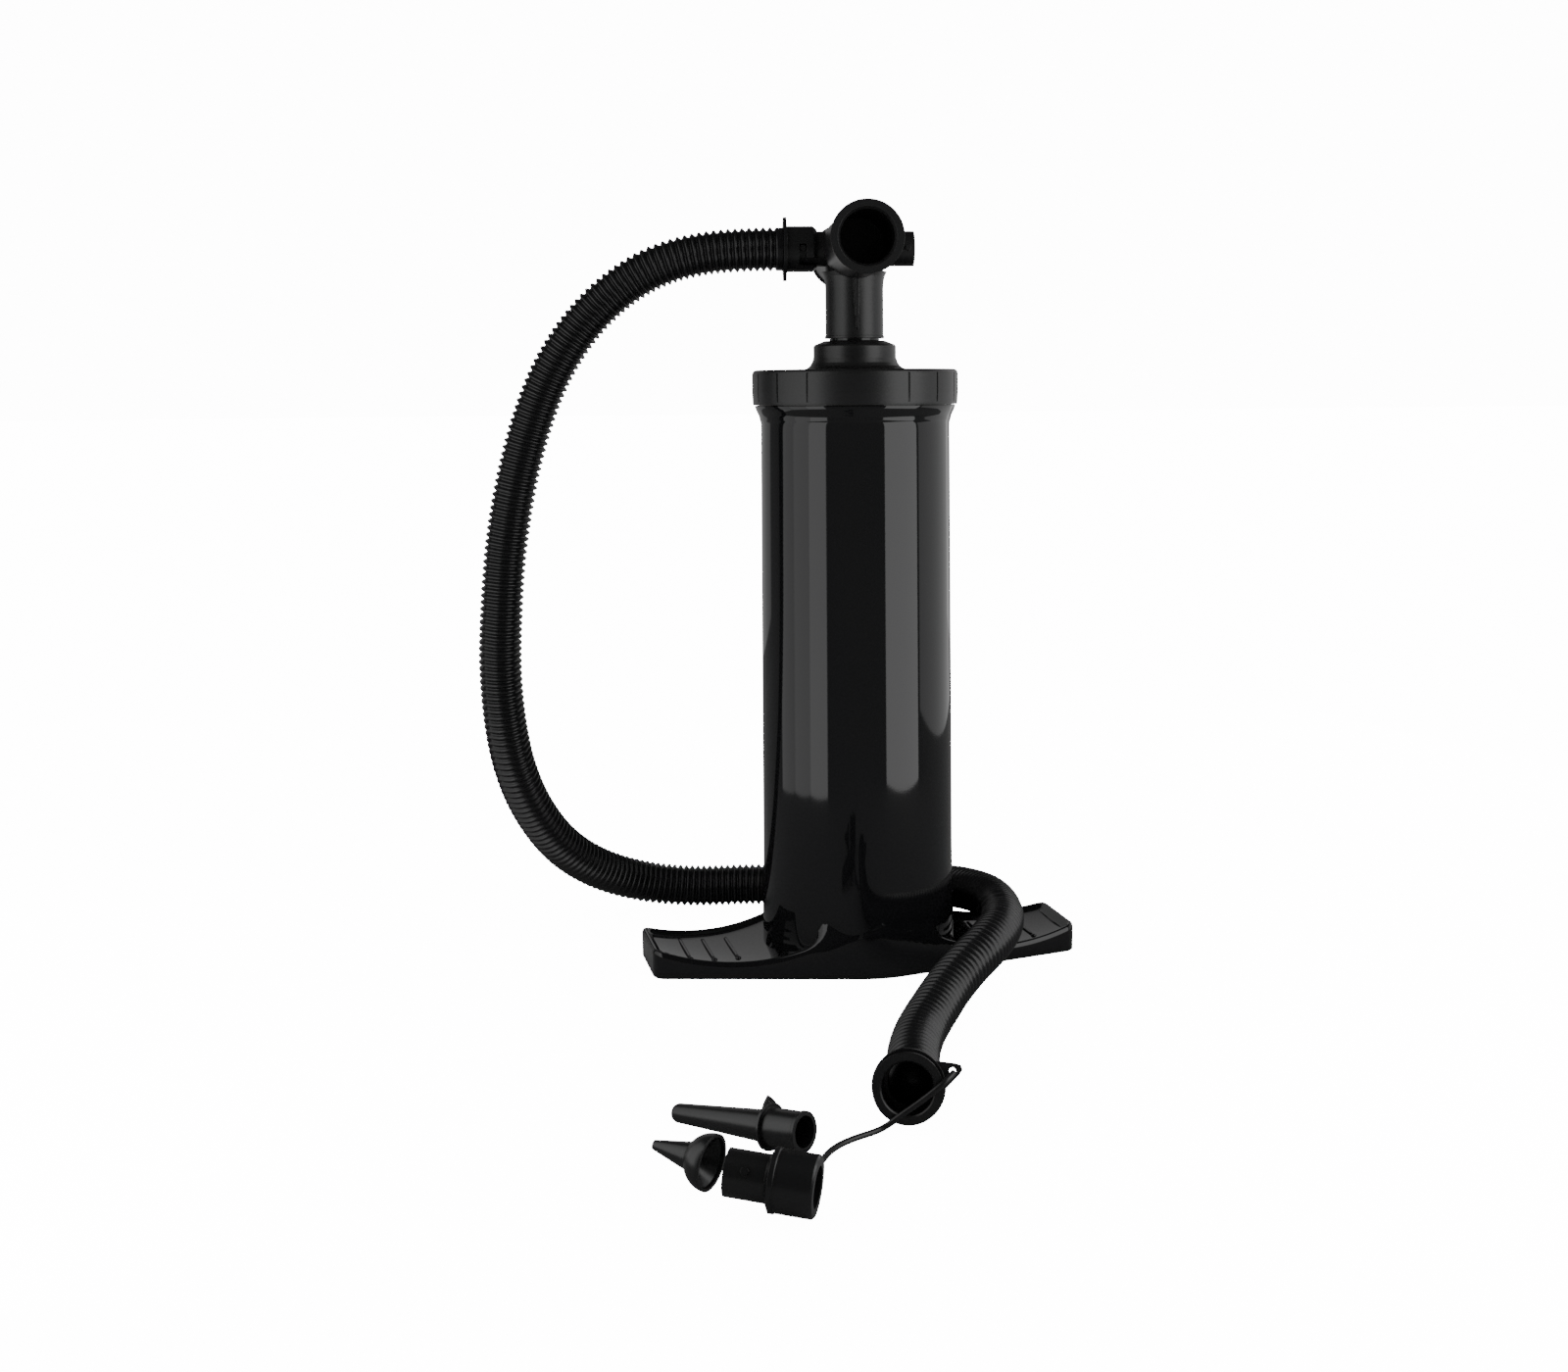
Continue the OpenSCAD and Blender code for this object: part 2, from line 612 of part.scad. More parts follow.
module dome_nozzle() {
    color(satin_black) translate(dome_at) rotate([0, 0, dome_yaw]) rotate([0, -dome_tilt, 0])
        along_x() difference() {
            union() {
                intersection() {
                    sphere(r = dome_r);
                    cylinder(r = dome_r + 1, h = 20);
                }
                translate([0, 0, dome_r - 3]) cylinder(r1 = 7, r2 = 2.3, h = tip_len);
            }
            translate([0, 0, -1]) cylinder(r = dome_r - 1.6, h = 3);
            translate([0, 0, 1.9]) cylinder(r1 = dome_r - 1.6, r2 = 6, h = 8);
            translate([0, 0, -2]) cylinder(r = 1.2, h = 60);
        }
}

module cone_nozzle() {
    base_z = cone_socket_len + 1.5;
    color(satin_black) translate(cone_at) rotate([0, 0, cone_yaw]) rotate([0, cone_tilt, 0])
        along_x() difference() {
            union() {
                rotate_extrude() polygon([[0, 0], [cone_socket_r + 0.5, 0], [cone_socket_r + 0.5, 1.6],
                    [cone_socket_r, 2], [cone_socket_r, cone_socket_len],
                    [cone_flange_r, cone_socket_len], [cone_flange_r, base_z], [8, base_z],
                    [4.8, base_z + cone_len], [4, base_z + cone_len + 1.8],
                    [2.4, base_z + cone_len + 2.8], [0, base_z + cone_len + 2.8]]);
                // pointed ear for the tether
                translate([0, 0, cone_socket_len + 0.1]) linear_extrude(1.3) polygon([
                    [-3, -11], [-12.5, -3.5], [-15.5, 0], [-12.5, 3.5], [-3, 11]]);
            }
            translate([0, 0, -1]) cylinder(r = cone_socket_r - 1.8, h = cone_socket_len);
            translate([0, 0, -1]) cylinder(r = 1.7, h = 120);
            translate([-12.6, 0, cone_socket_len - 1]) cylinder(r = 0.8, h = 5, $fn = 40);
        }
}

barrel_body();
base_cover();
base_screws();
collar_cap();
top_cover();
cover_gasket();
rod_bush();
rod_wiper();
handle();
handle_screws();
rod_tube();
air_tube();
piston_upper();
piston_lower();
piston_screws();
piston_seal();
inlet_valve_lower();
outlet_valve_lower();
inlet_valve_upper();
outlet_valve_upper();
pump_hose_cuff();
hose();
end_hose_cuff();
tether();
wide_adapter();
dome_nozzle();
cone_nozzle();
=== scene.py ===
import math

import bmesh
import bpy
import numpy as np
from mathutils import Matrix, Quaternion, Vector


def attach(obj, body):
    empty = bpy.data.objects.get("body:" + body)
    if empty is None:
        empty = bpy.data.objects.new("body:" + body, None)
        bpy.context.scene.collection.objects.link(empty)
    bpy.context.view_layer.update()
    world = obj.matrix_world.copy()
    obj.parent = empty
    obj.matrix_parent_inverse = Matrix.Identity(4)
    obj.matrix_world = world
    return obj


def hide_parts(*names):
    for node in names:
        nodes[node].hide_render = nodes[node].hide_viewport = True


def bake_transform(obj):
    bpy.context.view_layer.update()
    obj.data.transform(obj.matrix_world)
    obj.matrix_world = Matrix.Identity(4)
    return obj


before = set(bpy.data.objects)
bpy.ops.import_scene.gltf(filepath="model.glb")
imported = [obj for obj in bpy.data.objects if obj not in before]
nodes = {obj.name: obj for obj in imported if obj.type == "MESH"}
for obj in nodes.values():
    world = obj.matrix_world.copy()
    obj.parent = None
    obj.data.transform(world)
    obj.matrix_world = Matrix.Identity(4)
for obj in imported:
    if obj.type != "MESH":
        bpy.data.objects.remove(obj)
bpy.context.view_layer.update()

# ---------------------------------------------------------------- camera
camera_data = bpy.data.cameras.new("camera")
camera_data.lens = 45.86
camera_data.sensor_width = 36
camera_data.shift_y = -0.122
camera_data.clip_start = 0.05
camera = bpy.data.objects.new("camera", camera_data)
bpy.context.scene.collection.objects.link(camera)
bpy.context.scene.camera = camera
camera.location = (-0.3158, -1.2619, 0.3705)
look = Vector((0.2076, 0.9768, -0.0523))
camera.rotation_mode = "QUATERNION"
camera.rotation_quaternion = look.to_track_quat("-Z", "Y") @ Quaternion((0, 0, 1), math.radians(-0.45))

# ---------------------------------------------------------------- sizes (metres)
HANDLE_YAW = math.radians(-9)
PORT_DIR = Vector((-math.cos(HANDLE_YAW), -math.sin(HANDLE_YAW), 0))
CUFF_END = 0.0461
PORT_Z = 0.4614
HOSE_R = 0.0143
MOUTH = Vector((-0.053, -0.312, 0.0203))
END_YAW, END_TILT, END_LEN = math.radians(250), math.radians(8), 0.026
END_DIR = Vector((math.cos(END_TILT) * math.cos(END_YAW), math.cos(END_TILT) * math.sin(END_YAW),
                  math.sin(END_TILT)))
HOSE_ROUTE_MM = [
    (-70, 11, 461), (-95, 16, 459), (-120, 21, 453), (-142, 27, 442), (-163, 33, 425),
    (-181, 38, 403), (-196, 44, 376), (-208, 49, 342), (-217, 52, 305), (-223, 56, 266),
    (-226, 58, 228), (-227, 63, 190), (-224, 70, 152), (-217, 81, 118), (-204, 96, 86),
    (-184, 113, 57), (-157, 130, 35), (-124, 141, 21), (-87, 142, 15), (-45, 136, 15),
    (-3, 124, 15), (36, 105, 17), (65, 79, 22), (84, 46, 27), (92, 7, 30),
    (88, -32, 30), (76, -66, 29), (57, -97, 27), (37, -123, 24), (18, -149, 20),
    (1, -177, 17), (-15, -206, 15), (-27, -234, 15), (-35, -258, 15.5)]
TETHER_ROUTE_MM = [
    (-30, -315.5, 28), (-35, -320, 26), (-41, -321, 22), (-49, -319, 15.5), (-58, -317, 9),
    (-65, -315, 3.5), (-72, -317, 1.8), (-82, -322, 1.7), (-92, -329, 1.7), (-100, -338, 1.7),
    (-107, -350, 1.7), (-114, -362, 1.7), (-121, -373, 1.7), (-127, -380, 1.9),
    (-132, -383.5, 3)]


# ---------------------------------------------------------------- mesh helpers
def make_mesh(name, verts, faces, smooth=True):
    mesh = bpy.data.meshes.new(name)
    mesh.from_pydata([tuple(float(c) for c in v) for v in verts], [], faces)
    mesh.validate()
    mesh.update()
    if smooth:
        mesh.shade_smooth()
    obj = bpy.data.objects.new(name, mesh)
    bpy.context.scene.collection.objects.link(obj)
    return obj


def crease(obj, degrees=35):
    """Smooth faces, with hard edges where neighbours turn more than this."""
    bm = bmesh.new()
    bm.from_mesh(obj.data)
    for f in bm.faces:
        f.smooth = True
    limit = math.radians(degrees)
    for e in bm.edges:
        e.smooth = len(e.link_faces) == 2 and e.calc_face_angle(0.0) < limit
    bm.to_mesh(obj.data)
    bm.free()
    return obj


def spline(points, step):
    """Catmull-Rom line through the points, resampled to equal steps."""
    p = np.array(points, float)
    p = np.vstack([2 * p[0] - p[1], p, 2 * p[-1] - p[-2]])
    fine = []
    for i in range(1, len(p) - 2):
        for t in np.linspace(0, 1, 24, endpoint=False):
            a, b, c, d = p[i - 1:i + 3]
            fine.append(0.5 * (2 * b + (c - a) * t + (2 * a - 5 * b + 4 * c - d) * t ** 2
                               + (3 * b - a - 3 * c + d) * t ** 3))
    fine.append(p[-2])
    fine = np.array(fine)
    for _ in range(30):
        fine[1:-1] = 0.5 * fine[1:-1] + 0.25 * (fine[:-2] + fine[2:])
    gone = np.concatenate([[0], np.cumsum(np.linalg.norm(np.diff(fine, axis=0), axis=1))])
    count = max(2, int(round(gone[-1] / step)) + 1)
    at = np.linspace(0, gone[-1], count)
    line = np.stack([np.interp(at, gone, fine[:, k]) for k in range(3)], 1)
    return line, gone[-1]


def frames(line):
    """Tangent and two turning-free side directions at each point of a line."""
    t = np.gradient(line, axis=0)
    t /= np.linalg.norm(t, axis=1)[:, None]
    u = np.cross(t[0], (0, 0, 1.0))
    if np.linalg.norm(u) < 1e-6:
        u = np.array((1.0, 0, 0))
    sides = []
    for k in range(len(line)):
        u = u - (u @ t[k]) * t[k]
        u = u / np.linalg.norm(u)
        sides.append(u)
    u = np.array(sides)
    return t, u, np.cross(t, u)


SEAM = 0.00022


def tube(name, line, radii, sides, seam=0.0, frame_of=None):
    """Mesh tube round a line, with a radius at each point and an optional mould seam."""
    t, u, v = frame_of if frame_of else frames(line)
    angles = np.linspace(0, 2 * math.pi, sides, endpoint=False)
    ring = np.cos(angles)[None, :, None] * u[:, None, :] + np.sin(angles)[None, :, None] * v[:, None, :]
    r = np.repeat(np.array(radii)[:, None], sides, 1)
    if seam:
        for k in (sides // 8, sides // 8 + sides // 2):
            r[:, k] += seam
    points = line[:, None, :] + ring * r[:, :, None]
    n = len(line)
    verts = points.reshape(-1, 3)
    faces = []
    for i in range(n - 1):
        for k in range(sides):
            a, b = i * sides + k, i * sides + (k + 1) % sides
            faces.append((a, b, b + sides, a + sides))
    faces.append(tuple(reversed(range(sides))))
    faces.append(tuple((n - 1) * sides + k for k in range(sides)))
    return make_mesh(name, verts, faces)


def lathe(name, profile, sides=160):
    """Solid turned about Z from (radius, height) points."""
    verts, faces = [], []
    for r, z in profile:
        for k in range(sides):
            a = 2 * math.pi * k / sides
            verts.append((r * math.cos(a), r * math.sin(a), z))
    n = len(profile)
    for i in range(n - 1):
        j = i + 1
        for k in range(sides):
            q = (k + 1) % sides
            faces.append((i * sides + k, i * sides + q, j * sides + q, j * sides + k))
    faces.append(tuple(reversed(range(sides))))
    faces.append(tuple((n - 1) * sides + k for k in range(sides)))
    return make_mesh(name, verts, faces)


# ---------------------------------------------------------------- hose and tether
PITCH = 0.0044
RING_STEPS = 8
RING_STRETCH, STRETCH_FROM, STRETCH_OVER = 0.4, 0.74, 0.12
RING_DEPTH = 0.0023
start = PORT_DIR * CUFF_END + Vector((0, 0, PORT_Z))
finish_at = MOUTH - END_DIR * END_LEN
route = [tuple(start), tuple(start + PORT_DIR * 0.006)]
route += [tuple(c / 1000 for c in p) for p in HOSE_ROUTE_MM]
route += [tuple(finish_at - END_DIR * 0.008), tuple(finish_at)]
hose_line, hose_length = spline(route, PITCH / RING_STEPS)
hose_frames = frames(hose_line)
# the rings are drawn out a little where the hose is pulled over the tread to the front
along = np.linspace(0, 1, len(hose_line))
pull = np.clip((along - STRETCH_FROM) / STRETCH_OVER, 0, 1)
phase = np.cumsum(1 / (RING_STEPS * (1 + RING_STRETCH * pull * pull * (3 - 2 * pull))))
ring_radius = HOSE_R - RING_DEPTH * (0.5 - 0.5 * np.cos(2 * math.pi * phase))
# the first and last few millimetres are a plain collar moulded on the hose
for i in range(len(hose_line)):
    edge = min(i, len(hose_line) - 1 - i) * PITCH / RING_STEPS
    if edge < 0.004:
        ring_radius[i] = 0.0139
SPLIT = int(0.265 / (PITCH / RING_STEPS)) // RING_STEPS * RING_STEPS


def hose_part(name, first, last):
    part = slice(first, last + 1)
    t, u, v = hose_frames
    obj = tube(name, hose_line[part], ring_radius[part], 36, seam=SEAM,
               frame_of=(t[part], u[part], v[part]))
    return obj


hose_upper = hose_part("hose_upper", 0, SPLIT)
hose_lower = hose_part("hose_lower", SPLIT, len(hose_line) - 1)
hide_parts("hose")
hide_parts("hose")

tether_line, tether_length = spline([tuple(c / 1000 for c in p) for p in TETHER_ROUTE_MM], 0.001)
tether = tube("tether_cord", tether_line, [0.0016] * len(tether_line), 12)
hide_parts("tether")

# ---------------------------------------------------------------- barrel and foot
BARREL_PROFILE = [
    (0.0600, 0.0015), (0.0620, 0.0030), (0.0625, 0.0120), (0.0625, 0.0310), (0.0623, 0.0450),
    (0.0619, 0.0600), (0.0618, 0.0750), (0.0617, 0.1500), (0.0615, 0.2400), (0.0613, 0.3300),
    (0.0612, 0.3460), (0.0613, 0.3490), (0.0617, 0.3505), (0.0621, 0.3515), (0.0623, 0.3530),
    (0.0629, 0.3545), (0.0637, 0.3562), (0.0645, 0.3580), (0.0650, 0.3595), (0.0650, 0.3603),
    (0.0644, 0.3605), (0.0604, 0.3605), (0.0604, 0.3775), (0.0578, 0.3775), (0.0010, 0.3770)]
barrel = lathe("barrel_shell", BARREL_PROFILE, 200)
crease(barrel, 40)

FOOT_HALF, FOOT_MID, CORNER = 0.140, 0.0632, 0.009
TAPER = math.radians(13.8)
TREAD_LOW_X, TREAD_LOW_Z = 0.092, 0.011
TREAD_IN_R, TREAD_OUT_R = 0.1276, 0.150
CORNER_X = FOOT_HALF - CORNER
CORNER_Y = FOOT_MID / math.cos(TAPER) - CORNER_X * math.tan(TAPER) - CORNER / math.cos(TAPER)


def rim_height(x):
    dx = x - TREAD_LOW_X
    r = TREAD_IN_R if dx < 0 else TREAD_OUT_R
    return TREAD_LOW_Z + r - math.sqrt(r * r - dx * dx)


SCOOP_TIP, SCOOP_FULL = 0.031, 0.046
BLEND_R, BLEND_TOP = 0.0621, 0.046
BORE_R = 0.058


def ease(t):
    t = min(1.0, max(0.0, t))
    return t * t * (3 - 2 * t)


def into_barrel(px, py, z, level, climb):
    """Near the barrel the rim dies into the barrel's wall: level 0 keeps the point, 1 lays it there."""
    if level <= 0:
        return px, py, z
    out = math.hypot(px, py)
    r = out + (BLEND_R - out) * ease(climb)
    height = z + (BLEND_TOP - z) * climb
    return (px + (px / out * r - px) * level, py + (py / out * r - py) * level,
            z + (height - z) * level)


def tread(name, side):
    """One tread: outer wall, rolled rim, inner wall and dished tray, open only inside the barrel."""
    edge = []
    x_first = FOOT_MID * math.sin(TAPER)
    x_last = CORNER_X + CORNER * math.sin(TAPER)
    for i in range(6):
        a = TAPER * i / 6
        edge.append((FOOT_MID * math.sin(a), FOOT_MID * math.cos(a), math.sin(a), math.cos(a)))
    for i in range(40):
        x = x_first + (x_last - x_first) * i / 40
        y = (FOOT_MID - x * math.sin(TAPER)) / math.cos(TAPER)
        edge.append((x, y, math.sin(TAPER), math.cos(TAPER)))
    turn = math.pi / 2 - TAPER
    for i in range(9):
        a = turn * (1 - i / 8)
        edge.append((CORNER_X + CORNER * math.cos(a), CORNER_Y + CORNER * math.sin(a),
                     math.cos(a), math.sin(a)))
    across = 16
    columns = len(edge)
    # profile over the rim: how far in from the outer wall, and how far below the rim
    rim = [(0.0012, None, 0.0), (0.0002, None, 0.0007), (0.0, 1.9, None), (0.0, 0.0032, 0),
           (0.0003, 0.0018, 0), (0.0009, 0.0007, 0), (0.0017, 0.0001, 0), (0.0026, 0.0001, 0),
           (0.0034, 0.0006, 0), (0.0040, 0.0014, 0), (0.0044, 0.0024, 0), (0.0050, 0.0030, 0),
           (0.0064, 0.0034, 0)]
    perimeter = [(x, -y, nx, -ny) for x, y, nx, ny in edge]
    end_y = edge[-1][1]
    for j in range(1, across):
        y = -end_y + 2 * end_y * j / across
        perimeter.append((FOOT_HALF, y, 1.0, 0.0))
    perimeter += [(x, y, nx, ny) for x, y, nx, ny in reversed(edge)]
    verts, rows = [], []
    for number, (inset, drop, fixed_z) in enumerate(rim):
        row = []
        climb = max(0.0, (number - 2) / (len(rim) - 3))
        for x, y, nx, ny in perimeter:
            px, py = x - nx * inset, y - ny * inset
            top = rim_height(min(px, FOOT_HALF))
            if drop is None:
                z = fixed_z
            elif drop == 1.9:
                z = top * 0.5
            else:
                z = top - drop
            if climb > 0:
                level = ease((SCOOP_FULL - x) / (SCOOP_FULL - SCOOP_TIP))
                z += (0.5 * top - z) * level * (1 - climb)
                px, py, z = into_barrel(px, py, z, level, climb)
            row.append(len(verts))
            verts.append((side * px, py, z))
        rows.append(row)
    faces = []
    n = len(perimeter)
    for a, b in zip(rows[:-1], rows[1:]):
        for k in range(n - 1):
            faces.append((a[k], a[k + 1], b[k + 1], b[k]))
    # dished tray between the two sides of the inner loop
    inner = rows[-1]
    grid = []
    for c in range(columns):
        low, high = inner[c], inner[n - 1 - c]
        line = [low]
        y0, y1, px = verts[low][1], verts[high][1], abs(verts[low][0])
        for j in range(1, across):
            f = j / across
            if c == columns - 1:
                line.append(inner[columns - 1 + j])
                continue
            dish = 0.0012 * math.sin(math.pi * f) ** 0.7
            line.append(len(verts))
            verts.append((side * px, y0 + (y1 - y0) * f, min(rim_height(px), 0.040) - 0.0034 - dish))
        line.append(high)
        grid.append(line)
    for a, b in zip(grid[:-1], grid[1:]):
        for j in range(across):
            face = (a[j], b[j], b[j + 1], a[j + 1])
            # the tray stops inside the barrel's wall, so the bore stays clear
            if max(math.hypot(*verts[k][:2]) for k in face) > BORE_R:
                faces.append(face)
    # underside
    for c in range(columns - 1):
        faces.append((rows[0][c], rows[0][n - 1 - c], rows[0][n - 2 - c], rows[0][c + 1]))
    faces.append(tuple(rows[0][columns - 1:n - columns + 1]))
    if side < 0:
        faces = [tuple(reversed(f)) for f in faces]
    obj = make_mesh(name, verts, faces)
    bm = bmesh.new()
    bm.from_mesh(obj.data)
    bmesh.ops.recalc_face_normals(bm, faces=bm.faces)
    bm.to_mesh(obj.data)
    bm.free()
    return crease(obj, 50)


def capsule_on_tray(name, side, x, y0, y1):
    """A low half-round rib across the tray, with a round dot at its front end."""
    steps = 16
    verts, faces = [], []
    sides = 10
    for i in range(steps + 1):
        y = y0 + (y1 - y0) * i / steps
        z = rim_height(x) - 0.0046
        width = 0.0013
        tall = 0.0014
        if i in (0, steps):
            width, tall = 0.0007, 0.0005
        for k in range(sides + 1):
            a = math.pi * k / sides
            verts.append((side * x + width * math.cos(a), y, z + tall * math.sin(a)))
        verts.append((side * x + width * 0.9 * -1, y, z - 0.001))
        verts.append((side * x + width * 0.9, y, z - 0.001))
    m = sides + 3
    for i in range(steps):
        for k in range(m):
            a, b = i * m + k, i * m + (k + 1) % m
            faces.append((a, b, b + m, a + m))
    faces.append(tuple(reversed(range(m))))
    faces.append(tuple(steps * m + k for k in range(m)))
    rib = make_mesh(name, verts, faces)
    dot = lathe(name + "_dot", [(0.0019, -0.001), (0.0019, 0.0006), (0.0015, 0.0012),
                                (0.0009, 0.0015), (0.0002, 0.0016)], 24)
    dot.location = (side * x, y0 - 0.001, rim_height(x) - 0.0046)
    return [rib, dot]


def join(name, objs):
    bpy.ops.object.select_all(action="DESELECT")
    for o in objs:
        o.select_set(True)
    bpy.context.view_layer.objects.active = objs[0]
    bpy.ops.object.join()
    out = bpy.context.view_layer.objects.active
    out.name = name
    out.data.name = name
    bpy.ops.object.transform_apply(location=True, rotation=True, scale=True)
    return out


foot_parts = []
for side, word in ((-1, "left"), (1, "right")):
    foot_parts.append(tread("tread_" + word, side))
    for i in range(3):
        foot_parts += capsule_on_tray(f"rib_{word}_{i}", side, 0.084 + 0.0155 * i, -0.018, 0.030)
foot = join("foot_shell", foot_parts)
for obj in (barrel, foot):
    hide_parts("barrel_body")
    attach(obj, "base")


# ---------------------------------------------------------------- finishes
def plastic(name, dark, light, rough, rough_more, bump=0.02, soft_edge=0.0, wave=0.0):
    """Black or grey moulded plastic: mottled colour and gloss, fine grain, soft edges."""
    m = bpy.data.materials.new(name)
    m.use_nodes = True
    tree = m.node_tree
    new, wire = tree.nodes.new, tree.links.new
    shader = tree.nodes["Principled BSDF"]
    shader.inputs["IOR"].default_value = 1.5
    place = new("ShaderNodeTexCoord")
    fine = new("ShaderNodeTexNoise")
    fine.inputs["Scale"].default_value = 900
    fine.inputs["Detail"].default_value = 4
    broad = new("ShaderNodeTexNoise")
    broad.inputs["Scale"].default_value = 14
    broad.inputs["Detail"].default_value = 5
    wire(place.outputs["Object"], fine.inputs["Vector"])
    wire(place.outputs["Object"], broad.inputs["Vector"])
    tint = new("ShaderNodeMix")
    tint.data_type = "RGBA"
    tint.inputs["A"].default_value = (*dark, 1)
    tint.inputs["B"].default_value = (*light, 1)
    wire(broad.outputs["Fac"], tint.inputs["Factor"])
    wire(tint.outputs["Result"], shader.inputs["Base Color"])
    dull = new("ShaderNodeMapRange")
    dull.inputs["To Min"].default_value = rough
    dull.inputs["To Max"].default_value = rough_more
    wire(broad.outputs["Fac"], dull.inputs["Value"])
    wire(dull.outputs["Result"], shader.inputs["Roughness"])
    relief = new("ShaderNodeBump")
    relief.inputs["Strength"].default_value = bump
    relief.inputs["Distance"].default_value = 0.0004
    wire(fine.outputs["Fac"], relief.inputs["Height"])
    last = relief
    if wave:
        ripple = new("ShaderNodeTexNoise")
        ripple.inputs["Scale"].default_value = 9
        ripple.inputs["Detail"].default_value = 1
        wire(place.outputs["Object"], ripple.inputs["Vector"])
        sway = new("ShaderNodeBump")
        sway.inputs["Strength"].default_value = wave
        sway.inputs["Distance"].default_value = 0.003
        wire(ripple.outputs["Fac"], sway.inputs["Height"])
        wire(relief.outputs["Normal"], sway.inputs["Normal"])
        last = sway
    if soft_edge:
        edge = new("ShaderNodeBevel")
        edge.samples = 4
        edge.inputs["Radius"].default_value = soft_edge
        wire(edge.outputs["Normal"], relief.inputs["Normal"])
    wire(last.outputs["Normal"], shader.inputs["Normal"])
    return m


gloss = plastic("gloss_black", (0.0025, 0.0025, 0.0028), (0.0035, 0.0035, 0.0038), 0.03, 0.06, bump=0.006,
                wave=0.02)
satin = plastic("satin_black", (0.004, 0.004, 0.0043), (0.006, 0.006, 0.0063), 0.30, 0.40, bump=0.06,
                soft_edge=0.0005)
cuff_black = plastic("cuff_black", (0.004, 0.004, 0.0043), (0.006, 0.006, 0.0063), 0.24, 0.34, bump=0.05,
                     soft_edge=0.0004)
hose_black = plastic("hose_black", (0.003, 0.003, 0.0033), (0.005, 0.005, 0.0053), 0.20, 0.30, bump=0.03)
rod_black = plastic("rod_black", (0.004, 0.004, 0.0043), (0.006, 0.006, 0.0063), 0.14, 0.2, bump=0.02)
grey = plastic("moulded_grey", (0.30, 0.30, 0.31), (0.38, 0.38, 0.39), 0.4, 0.5, bump=0.08, soft_edge=0.0003)
rubber = plastic("rubber_black", (0.012, 0.012, 0.012), (0.02, 0.02, 0.02), 0.6, 0.7, bump=0.2)
steel = plastic("zinc_steel", (0.45, 0.45, 0.47), (0.55, 0.55, 0.57), 0.25, 0.4, bump=0.05, soft_edge=0.0002)
steel.node_tree.nodes["Principled BSDF"].inputs["Metallic"].default_value = 1.0

FINISH = {
    "barrel_body": gloss, "base_cover": satin, "base_screws": steel, "collar_cap": satin,
    "top_cover": satin, "cover_gasket": rubber, "rod_bush": grey, "rod_wiper": rubber,
    "handle": satin, "handle_screws": steel, "rod_tube": rod_black, "air_tube": grey,
    "piston_upper": grey, "piston_lower": grey, "piston_screws": steel, "piston_seal": rubber,
    "inlet_valve_lower": rubber, "outlet_valve_lower": rubber, "inlet_valve_upper": rubber,
    "outlet_valve_upper": rubber, "pump_hose_cuff": cuff_black, "hose": hose_black,
    "end_hose_cuff": cuff_black, "tether": satin, "wide_adapter": cuff_black,
    "dome_nozzle": cuff_black, "cone_nozzle": cuff_black}


def dress(obj, material):
    obj.data.materials.clear()
    obj.data.materials.append(material)


for name, material in FINISH.items():
    dress(nodes[name], material)
    crease(nodes[name], 30)
dress(barrel, gloss)
dress(foot, gloss)
dress(hose_upper, hose_black)
dress(hose_lower, hose_black)
dress(tether, satin)

# ---------------------------------------------------------------- what moves
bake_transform(hose_upper)
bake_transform(hose_lower)
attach(tether, "base")

# ---------------------------------------------------------------- studio
def by_ray(tree, seen, unseen, kind):
    """Mix of two shaders: the first for one kind of ray, the second for the others."""
    ray = tree.nodes.new("ShaderNodeLightPath")
    pick = tree.nodes.new("ShaderNodeMixShader")
    tree.links.new(ray.outputs[kind], pick.inputs["Fac"])
    tree.links.new(unseen.outputs[0], pick.inputs[1])
    tree.links.new(seen.outputs[0], pick.inputs[2])
    return pick


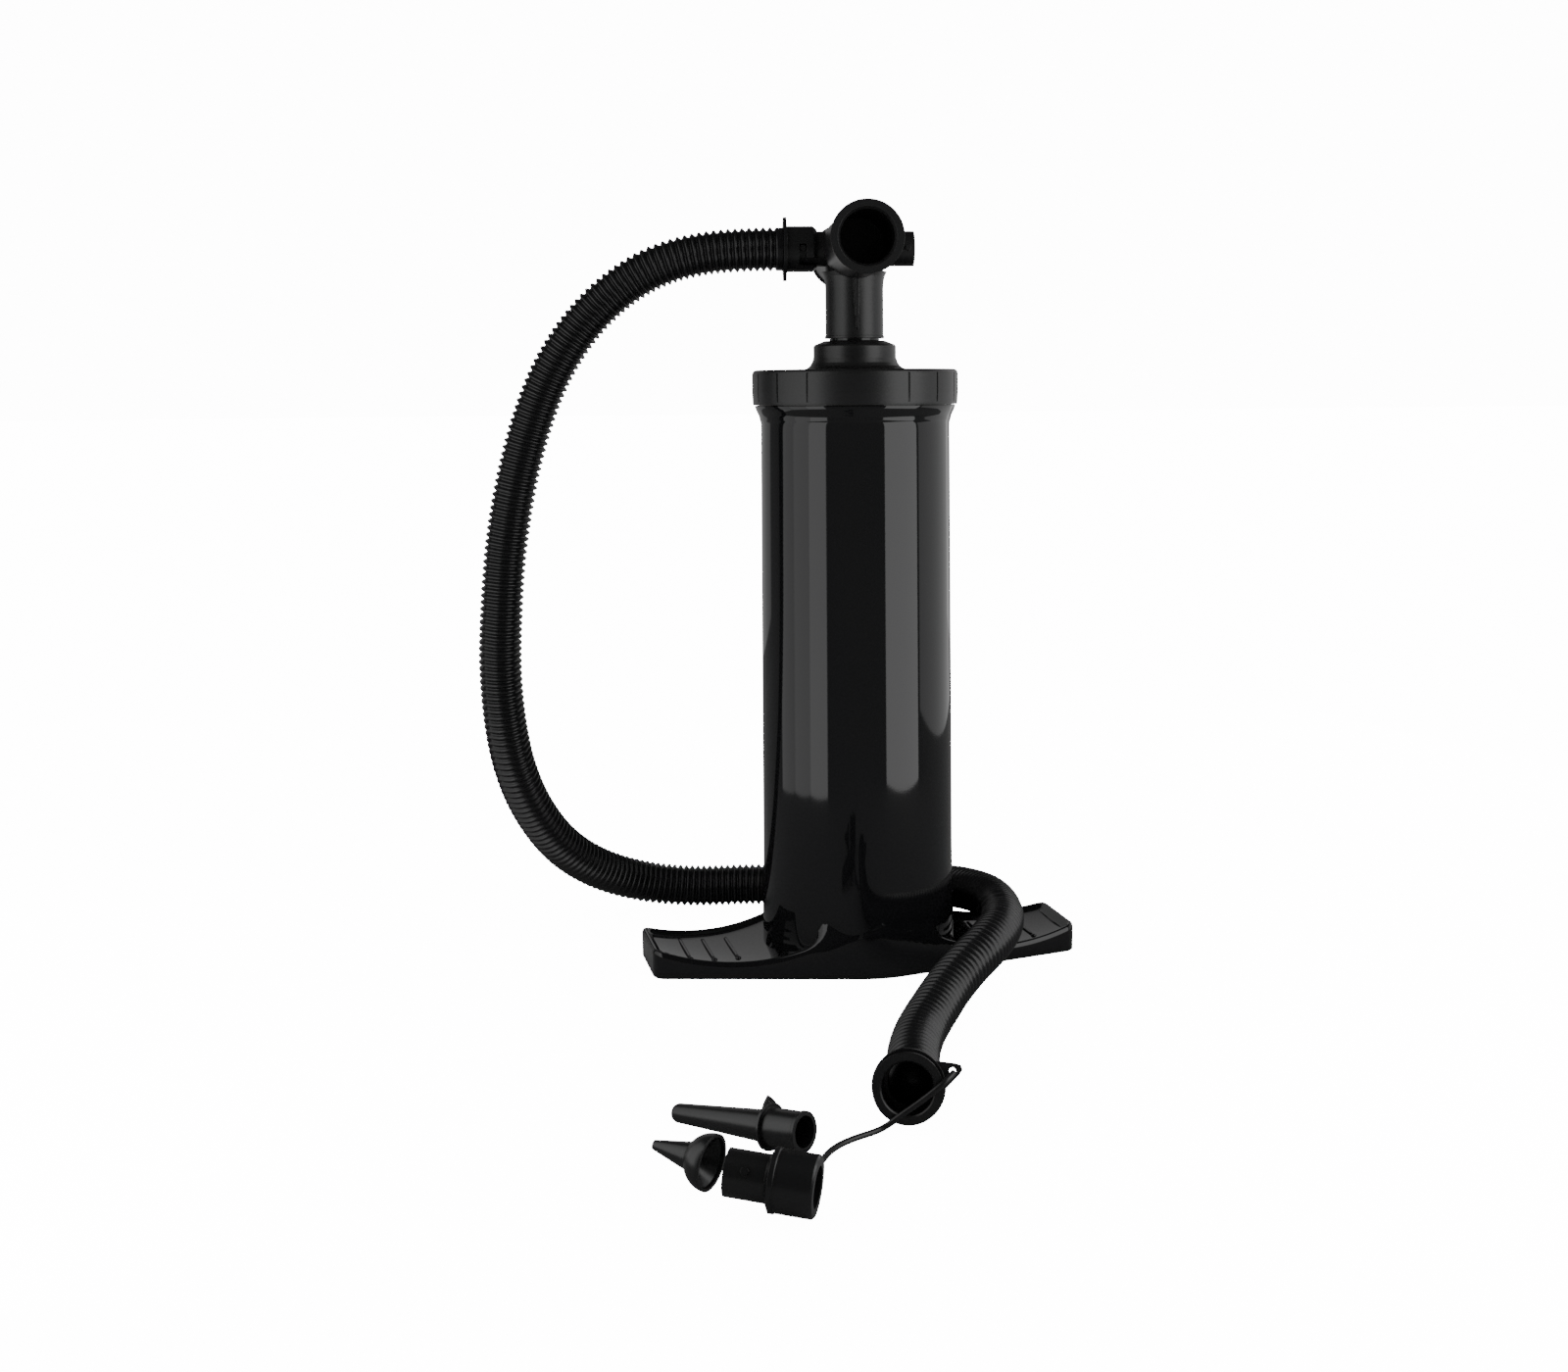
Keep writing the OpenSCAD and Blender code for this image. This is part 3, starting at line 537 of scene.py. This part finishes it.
BACKDROP = 14.0
bpy.ops.mesh.primitive_plane_add(size=60)
floor = bpy.context.object
floor.name = "floor"
floor.location = (0, 0, -0.0002)
pale = bpy.data.materials.new("floor_white")
pale.use_nodes = True
tree = pale.node_tree
white = tree.nodes["Principled BSDF"]
white.inputs["Base Color"].default_value = (0.88, 0.88, 0.88, 1)
white.inputs["Roughness"].default_value = 0.9
dim = tree.nodes.new("ShaderNodeBsdfDiffuse")
dim.inputs["Color"].default_value = (0.12, 0.12, 0.12, 1)
lit = tree.nodes.new("ShaderNodeEmission")
lit.inputs["Strength"].default_value = BACKDROP
add = tree.nodes.new("ShaderNodeAddShader")
tree.links.new(white.outputs[0], add.inputs[0])
tree.links.new(lit.outputs[0], add.inputs[1])
surface = by_ray(tree, add, by_ray(tree, dim, white, "Is Glossy Ray"), "Is Camera Ray")
tree.links.new(surface.outputs[0], tree.nodes["Material Output"].inputs["Surface"])
floor.data.materials.append(pale)

world = bpy.data.worlds.new("studio")
bpy.context.scene.world = world
world.use_nodes = True
tree = world.node_tree


def glow(strength):
    sky = tree.nodes.new("ShaderNodeBackground")
    sky.inputs["Color"].default_value = (1, 1, 1, 1)
    sky.inputs["Strength"].default_value = strength
    return sky


GLOSSY_SKY, DIFFUSE_SKY = 0.04, 1.2
unseen = by_ray(tree, glow(GLOSSY_SKY), glow(DIFFUSE_SKY), "Is Glossy Ray")
room = by_ray(tree, glow(BACKDROP), unseen, "Is Camera Ray")
tree.links.new(room.outputs[0], tree.nodes["World Output"].inputs["Surface"])


def softbox(name, azimuth, distance, z, width, height, radiance):
    """Upright panel that faces the pump, azimuth in degrees from +X."""
    data = bpy.data.lights.new(name, "AREA")
    data.shape = "RECTANGLE"
    data.size, data.size_y = width, height
    data.energy = radiance * math.pi * width * height
    obj = bpy.data.objects.new(name, data)
    bpy.context.scene.collection.objects.link(obj)
    a = math.radians(azimuth)
    obj.location = (distance * math.cos(a), distance * math.sin(a), z)
    obj.rotation_mode = "QUATERNION"
    inwards = Vector((-math.cos(a), -math.sin(a), 0))
    obj.rotation_quaternion = inwards.to_track_quat("-Z", "Y")
    obj.visible_camera = False
    return obj


for i, radiance in enumerate((0.8, 1.1, 1.6)):
    softbox(f"left_strip_{i}", 168.5 + 21.5 * i, 0.62, 0.5, 0.235, 1.0, radiance)
softbox("front_box", 311, 0.65, 0.5, 0.5, 1.0, 2.1)
softbox("right_box", 12, 0.9, 0.5, 1.3, 1.0, 0.7)
softbox("rear_box", 85, 1.1, 0.5, 2.3, 0.9, 0.3)
